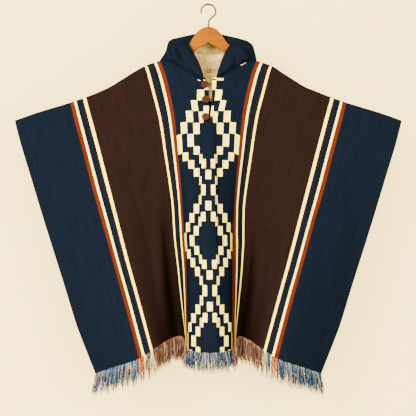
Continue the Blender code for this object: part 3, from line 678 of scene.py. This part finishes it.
# Painted shade: the colour is darkened in the folds, more where a point is more hidden.
painted_fold_shade = add("AmbientOcclusion", {"Distance": 0.05}, samples=8)["AO"]
painted_fold_shade = add("MapRange", (painted_fold_shade, 0.5, 0.98, 0.3, 1.0))[0]
hood_dye_and_painted_shade = add("VectorMath", {0: hood_dye_and_painted_shade, "Scale": painted_fold_shade}, operation="SCALE")[0]
rib = add("TexWave", {"Vector": hood_map, "Scale": 145.0, "Distortion": 0.6, "Detail": 1.0},
          bands_direction="X")[1]
nap = add("TexNoise", {"Vector": hood_map, "Scale": 900.0, "Detail": 3.0})[0]
relief = add("Math", (nap, 1.5, rib), operation="MULTIPLY_ADD")[0]
surface(add, hood_dye_and_painted_shade, relief, 0.35)

# The hood's wrong side: undyed wool with slubs.  It gives the eye a warm mottled beige, with slubs
# 9 mm long and ribs 2.2 mm apart, both coarser than real ones so that they show.
hood_inside, add = material("undyed beige wool")
inside_map = add("UVMap", uv_map="Cloth")[0]
slubs = add("TexNoise", {"Vector": inside_map, "Scale": 110.0, "Detail": 5.0})[0]
beige = add("ValToRGB", (slubs,), ((0.3, "9A7C42"), (0.5, "BC9C56"), (0.7, "D6BA7A")))[0]
rib = add("TexWave", {"Vector": inside_map, "Scale": 145.0, "Distortion": 1.0, "Detail": 1.0},
          bands_direction="Y")[1]
surface(add, beige, rib)


def through(points, count):
    """A rounded curve through a few points, as evenly spaced points."""
    points = np.asarray(points, float)
    ends = np.vstack([2 * points[0] - points[1], points, 2 * points[-1] - points[-2]])
    fine = []
    for i in range(1, len(ends) - 2):
        a, b, c, d = ends[i - 1:i + 3]
        for t in np.linspace(0, 1, 24, endpoint=False):
            fine.append(0.5 * (2 * b + (c - a) * t + (2 * a - 5 * b + 4 * c - d) * t * t
                               + (3 * b - a - 3 * c + d) * t ** 3))
    fine = np.array(fine + [points[-1]])
    run = np.concatenate([[0], np.cumsum(np.linalg.norm(np.diff(fine, axis=0), axis=1))])
    at = np.linspace(0, run[-1], count)
    return np.stack([np.interp(at, run, fine[:, k]) for k in range(3)], axis=-1)


def neck_edge(flat, share, side):
    """A point of a wall's outer face near the neck edge, with the direction out of the cloth."""
    row = cloth_row(np.array([max(flat - 0.5, 0), flat, flat + 0.5]), share, side)
    below = cloth_row(np.array([flat]), share + 2e-4, side)[0]
    normal = np.cross(row[2] - row[0], below - row[1]) * side
    normal[1] *= 1 - (float(neck_closing(flat)) if share == 0 and flat > FOLD_START else 0)
    normal /= np.linalg.norm(normal)
    return row[1], normal


def hood_half(name, sign):
    """One half of the hood from the neck seam to the face edge; sign is its side in x."""
    table = HOOD[sign]
    flat_places = [row[0] for row in table]
    paths = []
    for place in np.linspace(0, len(table) - 1, HOOD_COLUMNS):
        flat = float(np.interp(place, range(len(table)), flat_places))
        path = [[float(smooth(range(len(table)), [row[k][axis] for row in table], place))
                 for axis in range(3)] for k in range(1, 5)]
        if abs(place - HOOD_TIP) < 1e-6:
            base = np.array(SHOULDER_SEAT)
        elif place < HOOD_TIP:
            edge, normal = neck_edge(flat, 0, -1)
            near_tip = float(np.clip((flat - TIP_FROM) / TIP_RUN, 0, 1))
            base = edge + normal * (SEAM_IN + near_tip * (SEAM_OFF - SEAM_IN))
            base = base + near_tip * np.array(TIP_SHIFT) + (0, 0, SEAM_RISE)
        else:
            edge, normal = neck_edge(flat, SEAM_FALL, 1)
            base = edge + normal * SEAM_OFF
        paths.append(through([base] + path, HOOD_ROWS))
    middle = np.array(paths).swapaxes(0, 1)
    normal = grid_normals(middle, 1)
    normal[:, -1, 0] = 0
    middle[:, -1, 0] = SEAM_PART
    spread = middle.copy()
    for in_front, rise, width, path in HOOD_FOLDS[sign]:
        mirrored = [(x * sign, z) for x, z in path]
        ahead = np.clip((5 - spread[..., 1:2]) / 10, 0, 1)
        near = ahead if in_front else 1 - ahead
        middle = middle + normal * near * raised(spread, rise, width, mirrored)
    normal = grid_normals(middle, 1)
    normal[:, -1, 0] = 0
    normal /= np.linalg.norm(normal, axis=-1, keepdims=True)
    faces_out = middle + normal * HOOD_THICK / 2
    faces_in = middle - normal * HOOD_THICK / 2
    for face in (faces_out, faces_in):
        face[:, -1, 0] = SEAM_PART
        face[..., 0] *= sign
    # The face edge is hemmed with the navy side turned in, deeper where it passes the hanger.
    hem_rows = np.interp(np.arange(HOOD_COLUMNS - 1), *FACE_HEM)
    lined = np.arange(HOOD_ROWS - 1)[:, None] < HOOD_ROWS - 1 - hem_rows
    # Each half is cut from cloth of its own, so its slubs don't mirror the other's.
    return sheet_of(name, faces_out, faces_in, HOOD_FLAT, [hood_wool, hood_inside],
                    sign, 0.7 if sign > 0 else 0.0, lined.astype(int).ravel().tolist())


for name, sign, stood_for in (("hood_half_right", -1, "hood_right"),
                              ("hood_half_left", 1, "hood_left")):
    half = hood_half(name, sign)
    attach(half, "root")
    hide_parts(stood_for)


# ---- Neck tape -------------------------------------------------------
# A strip of tan cotton tape, its ends folded under, laid inside the back of the neck over the
# seam that joins the hood to the length and sewn down along both edges.

TAPE_HALF, TAPE_TOP, TAPE_HEIGHT = 30.0, 1.0, 14.0
TAPE_ROWS, TAPE_COLUMNS = 9, 41
TAPE_LIFT, TAPE_SWELL, TAPE_EDGE = 3.4, 0.9, 1.5   # off the cloth, and thinner towards the edges

# Cotton twill, dyed tan.  It gives the eye a flat warm band, a little smoother than the wool.  Its
# ribs are drawn 1.7 mm apart, about three times as far as woven, so that they show.
tape_cotton, add = material("tan cotton tape")
tape_map = add("UVMap", uv_map="Cloth")[0]
twill = add("TexWave", {"Vector": tape_map, "Scale": 260.0}, bands_direction="DIAGONAL")[1]
tape_tone = add("ValToRGB", (twill,), ((0.0, "9C7628"), (1.0, "AE8634")))[0]
surface(add, tape_tone, twill, depth=0.0003, roughness=0.9, shine=0.05)

tape_rows = []
for fall in np.linspace(TAPE_TOP, TAPE_TOP + TAPE_HEIGHT, TAPE_ROWS):
    edge = min(fall - TAPE_TOP, TAPE_TOP + TAPE_HEIGHT - fall)
    lift = TAPE_LIFT + TAPE_SWELL * min(1.0, edge / TAPE_EDGE)
    tape_row = []
    for flat in np.linspace(-TAPE_HALF, TAPE_HALF, TAPE_COLUMNS):
        point, normal = neck_edge(abs(flat), fall / SIDE_DROP, 1)
        tape_row.append((point - normal * lift) * ((-1 if flat < 0 else 1), 1, 1))
    tape_rows.append(tape_row)
tape_grid = np.array(tape_rows)
tape = sheet_of("neck_tape_sewn", tape_grid, tape_grid + (0, 0.5, 0), (0.06, 0.014),
                [tape_cotton])
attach(tape, "root")
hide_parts("neck_tape")


# ---- Slit facing -----------------------------------------------------
# A strip of the hood's beige wool, sewn inside the slit's button edge so that the slit does not
# gape between the upper two buttons.

FACING_TOP, FACING_FOOT, FACING_LEFT = -249.0, -323.0, -15.0
FACING_RIGHT = ((-290, -272), (17.0, 6.0))   # by height: narrower behind the upper button
FACING_ROWS, FACING_COLUMNS = 27, 15
FACING_BEHIND, FACING_THICK = 4.6, 1.2

# The hood's undyed wool, darkened with the slit's shade painted into its colour.  It gives the eye
# a dull beige strip behind the slit.
# Its slubs are drawn 6 mm long, coarser than real ones, so that they show.
facing_wool_painted_shade, add = material("beige facing wool in painted shade")
facing_map = add("UVMap", uv_map="Cloth")[0]
slubs = add("TexNoise", {"Vector": facing_map, "Scale": 170.0, "Detail": 4.0})[0]
surface(add, add("ValToRGB", (slubs,), ((0.3, "5A4623"), (0.5, "66512A"), (0.72, "745F35")))[0])

facing_rows = []
for z in np.linspace(FACING_TOP, FACING_FOOT, FACING_ROWS):
    share = (neck_edge(2.0, 0, -1)[0][2] - z) / MIDDLE_DROP
    front_y = cloth_row([2.0], max(share, 0.0005), -1)[0][1]
    facing_rows.append([(x, front_y + FACING_BEHIND + 0.5 * math.sin(x * 0.25 + z * 0.06), z)
                        for x in np.linspace(FACING_LEFT, np.interp(z, *FACING_RIGHT),
                                             FACING_COLUMNS)])
facing_grid = np.array(facing_rows)
facing = sheet_of("slit_facing", facing_grid, facing_grid + (0, FACING_THICK, 0),
                  (0.034, 0.075), [facing_wool_painted_shade])
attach(facing, "root")


# ---- Buttons and loops -----------------------------------------------
# Three turned nut-brown buttons with a raised rim, sewn through with crossed thread to the button
# edge of the slit; tan cord loops from the other edge turn round their shanks.

BUTTONS = ((-12, -273), (-8.5, -324), (-8.5, -383))
BUTTON_PROFILE = ((0, 2.4), (4, 2.4), (9, 2.9), (11.6, 3.6), (12.8, 4.8), (13, 5.8),
                  (12.5, 7), (11.4, 7.7), (10.2, 7.5), (9.2, 6.7), (8, 6.4), (4, 6.5),
                  (0, 6.5))
BUTTON_SIDES = 40
BUTTON_OFF = 1.0      # between the cloth and the button's back
STITCH_REACH, STITCH_DEEP, STITCH_HIGH, THREAD_RADIUS = 2.3, 6.2, 7.3, 0.55
LOOP_END = 14.5       # how far past the middle the cord goes under the edge
LOOP_TURN, LOOP_OUT, CORD_RADIUS = 4.4, 0.8, 1.1
LOOP_FOOT, LOOP_SPREAD = 3.4, 4.0   # from the cord's middle line at its foot and half way

# Vegetable nut, turned and left nearly dull.  It gives the eye a warm red brown with a fine figure
# in it, here 2.4 mm wide so that it shows, and a shaded rim.
button_nut, add = material("turned brown nut")
object_place = add("TexCoord")["Object"]
figure = add("TexNoise",
             {"Vector": object_place, "Scale": 420.0, "Detail": 5.0, "Distortion": 1.5})[0]
nut_tone = add("ValToRGB", (figure,), ((0.3, "22100A"), (0.55, "381A0F"), (0.8, "4C2414")))[0]
surface(add, nut_tone, roughness=0.5, shine=0.02)
# Waxed thread, which gives the eye a small dark cross in each button.
button_thread, add = material("dark sewing thread")
surface(add, linear("140A07"), roughness=0.9)
# Cotton cord of two twisted strands, which gives the eye a tan line with a twist; its strands
# stand 0.7 mm apart, as twisted.
loop_cord, add = material("tan twisted cord")
cord_place = add("TexCoord")["Object"]
twist = add("TexWave", {"Vector": cord_place, "Scale": 500.0}, bands_direction="DIAGONAL")[1]
surface(add, linear("5E4428"), twist, 0.5, 0.0004, roughness=0.9)


def tube(name, lines, radius, roundness, finish):
    """Round cords or threads along lines of points."""
    curve = bpy.data.curves.new(name, "CURVE")
    curve.dimensions = "3D"
    curve.bevel_depth = radius * 0.001
    curve.bevel_resolution = roundness
    curve.use_fill_caps = True
    for points in lines:
        spline = curve.splines.new("POLY")
        spline.points.add(len(points) - 1)
        for point, spot in zip(spline.points, points):
            point.co = (*(c * 0.001 for c in spot), 1.0)
        spline.use_smooth = True
    curve.materials.append(finish)
    return placed(curve)


def solid(name, shape, finish, sharp=180):
    """The smooth object of a worked shape, creased where it turns by more than so many degrees."""
    mesh = bpy.data.meshes.new(name)
    shape.to_mesh(mesh)
    shape.free()
    mesh.shade_smooth()
    mesh.set_sharp_from_angle(angle=math.radians(sharp))
    mesh.materials.append(finish)
    return placed(mesh)


def swept(name, rings, finish, sharp=180):
    """A closed solid through rings of points; a ring of one point is a pole."""
    shape = bmesh.new()
    made = [[shape.verts.new([c * 0.001 for c in spot]) for spot in ring] for ring in rings]
    count = max(len(ring) for ring in rings)
    for low, high in zip(made[:-1], made[1:]):
        for k in range(count):
            after = (k + 1) % count
            corners = [low[0]] if len(low) == 1 else [low[k], low[after]]
            corners += [high[0]] if len(high) == 1 else [high[after], high[k]]
            shape.faces.new(corners)
    for ring in (made[0], made[-1][::-1]):
        if len(ring) > 1:
            shape.faces.new(ring)
    bmesh.ops.recalc_face_normals(shape, faces=shape.faces)
    return solid(name, shape, finish, sharp)


def seat_on_front(x, z):
    """The point of the front's outer face at x and z, and right, up and out of the cloth there."""
    share = 0.1
    rest = np.linspace(0, 120, 121)
    for _ in range(20):
        row = cloth_row(rest, share, -1)
        flat = float(np.interp(abs(x), row[:, 0], rest))
        share += (float(np.interp(flat, rest, row[:, 2])) - z) / MIDDLE_DROP
    point, out = neck_edge(flat, share, -1)
    turned = np.array((-1 if x < 0 else 1, 1, 1))
    point, out = point * turned, out * turned
    right = np.cross(out, (0, 0, 1.0))
    right *= np.sign(right[0]) / np.linalg.norm(right)
    up = np.cross(out, right)
    return point, right, up * np.sign(up[2]), out


def round_points(middle, radius, right, up, degrees):
    """Points at angles round a middle, in the plane of two directions."""
    return [middle + radius * (right * math.cos(angle) + up * math.sin(angle))
            for angle in np.radians(degrees)]


for number, (x, z) in enumerate(BUTTONS, 1):
    seat, right, up, out = seat_on_front(x, z)
    seat = seat + out * BUTTON_OFF
    around = np.arange(BUTTON_SIDES) * 360 / BUTTON_SIDES
    rings = [round_points(seat + out * height, radius, right, up, around if radius else [0])
             for radius, height in BUTTON_PROFILE]
    button = swept(f"turned_button_{number}", rings, button_nut)
    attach(button, "root")
    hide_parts(f"button_{number}")
    stitches = []
    for across in (-right, right):
        span = (across + up) * STITCH_REACH
        stitches.append([seat + span * way + out * height for way, height in (
            (-1, STITCH_DEEP), (-0.7, STITCH_HIGH - 0.2), (0, STITCH_HIGH),
            (0.7, STITCH_HIGH - 0.2), (1, STITCH_DEEP))])
    thread = tube(f"button_thread_{number}", stitches, THREAD_RADIUS, 1, button_thread)
    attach(thread, "root")
    shank = seat + out * LOOP_OUT
    reach = LOOP_END - x
    legs = ((1, LOOP_FOOT), (0.5, LOOP_SPREAD))
    bend = [shank + right * reach * way - up * off for way, off in legs]
    bend += round_points(shank, LOOP_TURN, right, up, range(270, 75, -15))
    bend += [shank + right * reach * way + up * off for way, off in legs[::-1]]
    loop = tube(f"cord_loop_{number}", [bend], CORD_RADIUS, 2, loop_cord)
    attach(loop, "root")
    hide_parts(f"loop_{number}")


# ---- Coat hanger -----------------------------------------------------
# A flat bow of beech sawn to shape, rounded at its edges and clear lacquered to a warm orange,
# with a bent steel wire hook screwed into its crown.

# Distance from the middle, then the heights of the upper and under edge; None where the upper
# edge lies against the shoulder fold.
WOOD_OUTLINE = (
    (0, -73.8, -129), (12, -76.2, -135.5), (28, -83.6, -144.5), (46, -102, -154.5),
    (66, -130, -166), (90, -147, -181), (115, -165, -195),
    (135, -183, -209), (150, -193.2, -218), (165, None, -224),
    (192, None, -231), (206, None, -234), (219, None, -236),
    (225, -219.5, -234),
)
WOOD_HALF, WOOD_ROUND, WOOD_SEAT = 6.5, 5.0, 4.7   # half thickness, edge radius, under the fold
WOOD_END, END_SHRINK = 222.0, 0.72

# Beech, stained and clear lacquered.  It gives the eye a clean orange with faint long grain and
# almost no gloss.  Its streaks are drawn 8 mm wide and 170 mm long, coarser than real grain, so
# that they show.
beech, add = material("lacquered beech")
wood_place = add("TexCoord")["Object"]
stretched = add("Mapping", {0: wood_place, "Scale": (3.0, 40.0, 60.0)})[0]
grain = add("TexNoise", {"Vector": stretched, "Scale": 2.0, "Detail": 5.0, "Distortion": 0.6})[0]
wood_tone = add("ValToRGB", (grain,), ((0.3, "6E3900"), (0.5, "783F00"), (0.7, "824400")))[0]
# The half on the wearer's left is a little darker than the other, changing at the middle.
across_wood = add("SeparateXYZ", (wood_place,))[0]
half_tone = add("MapRange", (across_wood, -0.0005, 0.0005, 1.0, 0.88))[0]
wood_tone = add("VectorMath", {0: wood_tone, "Scale": half_tone}, operation="SCALE")[0]
surface(add, wood_tone, roughness=0.5, coat_weight=0.01, coat_roughness=0.3)

fold_row = cloth_row(half_columns, 0, -1)
knots = [(x, float(np.interp(x, fold_row[:, 0], fold_row[:, 2])) - WOOD_SEAT if top is None
          else top, under) for x, top, under in WOOD_OUTLINE]
spots = np.linspace(-knots[-1][0], knots[-1][0], 151)
tops, unders = (smooth([knot[0] for knot in knots], [knot[k] for knot in knots], np.abs(spots))
                for k in (1, 2))
wood_rings = []
for x, top, under in zip(spots, tops, unders):
    shrink = 1.0 if abs(x) < WOOD_END else END_SHRINK
    ring = []
    for quarter, (cy, cz) in enumerate(((1, 1), (-1, 1), (-1, -1), (1, -1))):
        radius = WOOD_ROUND * shrink
        level = top - radius if cz > 0 else under + radius
        for k in range(7):
            angle = math.radians(90 * quarter + 15 * k)
            ring.append((x, cy * (WOOD_HALF * shrink - radius) + radius * math.cos(angle),
                         level + radius * math.sin(angle)))
    wood_rings.append(ring)
bow = swept("beech_bow", wood_rings, beech, 50)
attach(bow, "root")
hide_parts("hanger_wood")

WIRE_SWELL = 0.0012   # metres; a wire drawn at its own size is lost against the bright wall

# Nickel-plated steel wire, gone dull.  It gives the eye a thin dark grey line with a soft gleam.
hook_steel, add = material("dark nickel-plated steel wire")
surface(add, linear("2E2C2A"), roughness=0.35, shine=0.5, metallic=1.0)
solid_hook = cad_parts["hanger_hook"]
shape = bmesh.new()
shape.from_mesh(solid_hook.data)
shape.transform(solid_hook.matrix_world)
bmesh.ops.remove_doubles(shape, verts=shape.verts, dist=1e-6)
shape.normal_update()
for vertex in shape.verts:
    vertex.co += vertex.normal * WIRE_SWELL
hook = solid("steel_wire_hook", shape, hook_steel, 50)
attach(hook, "root")
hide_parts("hanger_hook")


# ---- Studio ----------------------------------------------------------
# A pale floor well under the fringe, an even warm backdrop close behind the garment, and broad
# soft lights on stands in front of it and over it.

STUDIO_CREAM = linear("FFDF8B")
# The wall's glow: the first, lower value is where shadow is painted close behind the garment.
WALL_GLOW = (2.9, 4.1)   # close behind the garment, and clear of it
MIDDLE = Vector((0, 0, -0.65))

# Emulsion on the floor, which gives the eye a plain pale ground.
floor_paint, add = material("matt cream floor")
surface(add, linear("F2E9D8"), roughness=0.9, shine=0.5)
bpy.ops.mesh.primitive_circle_add(vertices=96, radius=1.5, fill_type="NGON",
                                  location=(0, 0, -1.75))
floor = bpy.context.object
floor.name = "studio_floor"
floor.data.materials.append(floor_paint)

# A painted panel that glows an even cream, with a faint shadow round the garment painted into its
# glow where the garment is close in front of it.  Seen from its back it is clear, so it never
# hides the garment.
wall_paint, add = material("matt cream wall with painted shadow")
from_back = add("NewGeometry")["Backfacing"]
lit = add("BsdfDiffuse", {"Color": linear("867647")})[0]
# Painted shadow: the glow is dimmed where the garment is close in front of the wall.
painted_shadow_near_cloth = add("AmbientOcclusion", {"Distance": 0.3}, samples=16)["AO"]
glow_with_painted_shadow = add("MapRange", (painted_shadow_near_cloth, 0.5, 1.0, WALL_GLOW[0], WALL_GLOW[1]))[0]
glow_with_painted_shadow = add("Emission", {"Color": STUDIO_CREAM, "Strength": glow_with_painted_shadow})[0]
paint = add("AddShader", (lit, glow_with_painted_shadow))[0]
clear = add("BsdfTransparent")[0]
add("OutputMaterial", add("MixShader", (from_back, paint, clear))[:1])
bpy.ops.mesh.primitive_plane_add(size=7.0, location=(0, 0.22, MIDDLE.z),
                                 rotation=(math.radians(90), 0, 0))
wall = bpy.context.object
wall.name = "studio_wall"
wall.data.materials.append(wall_paint)
wall.visible_shadow = False
wall.visible_diffuse = False
wall.visible_glossy = False

bpy.context.scene.world, add = emptied(bpy.data.worlds.new("studio"))
seen = add("LightPath")["Is Camera Ray"]
backdrop = add("Background", {"Color": STUDIO_CREAM, "Strength": 5.7})[0]
ambient = add("Background", {"Color": linear("FBF4EA"), "Strength": 1.1})[0]
add("OutputWorld", add("MixShader", (seen, ambient, backdrop))[:1])

# Name, place in metres, side in metres and watts of each light.
for name, spot, size, power in (("key", (-2.4, -4.0, 0.9), 1.6, 1030.0),
                                ("fill", (1.8, -4.4, -0.2), 1.8, 410.0),
                                ("back", (0.4, 4.2, 0.9), 1.6, 700.0)):
    lamp = bpy.data.lights.new(name, "AREA")
    lamp.size = size
    lamp.energy = power
    light = placed(lamp)
    light.location = spot
    light.rotation_euler = (Vector(spot) - MIDDLE).to_track_quat("Z", "Y").to_euler()

lens = bpy.data.cameras.new("camera")
lens.sensor_width = 36.0
lens.lens = 107.5
lens.clip_end = 50.0
camera = placed(lens)
camera.location = (-0.001, -4.2, -0.687)
camera.rotation_euler = (math.radians(90), 0, 0)
bpy.context.scene.camera = camera
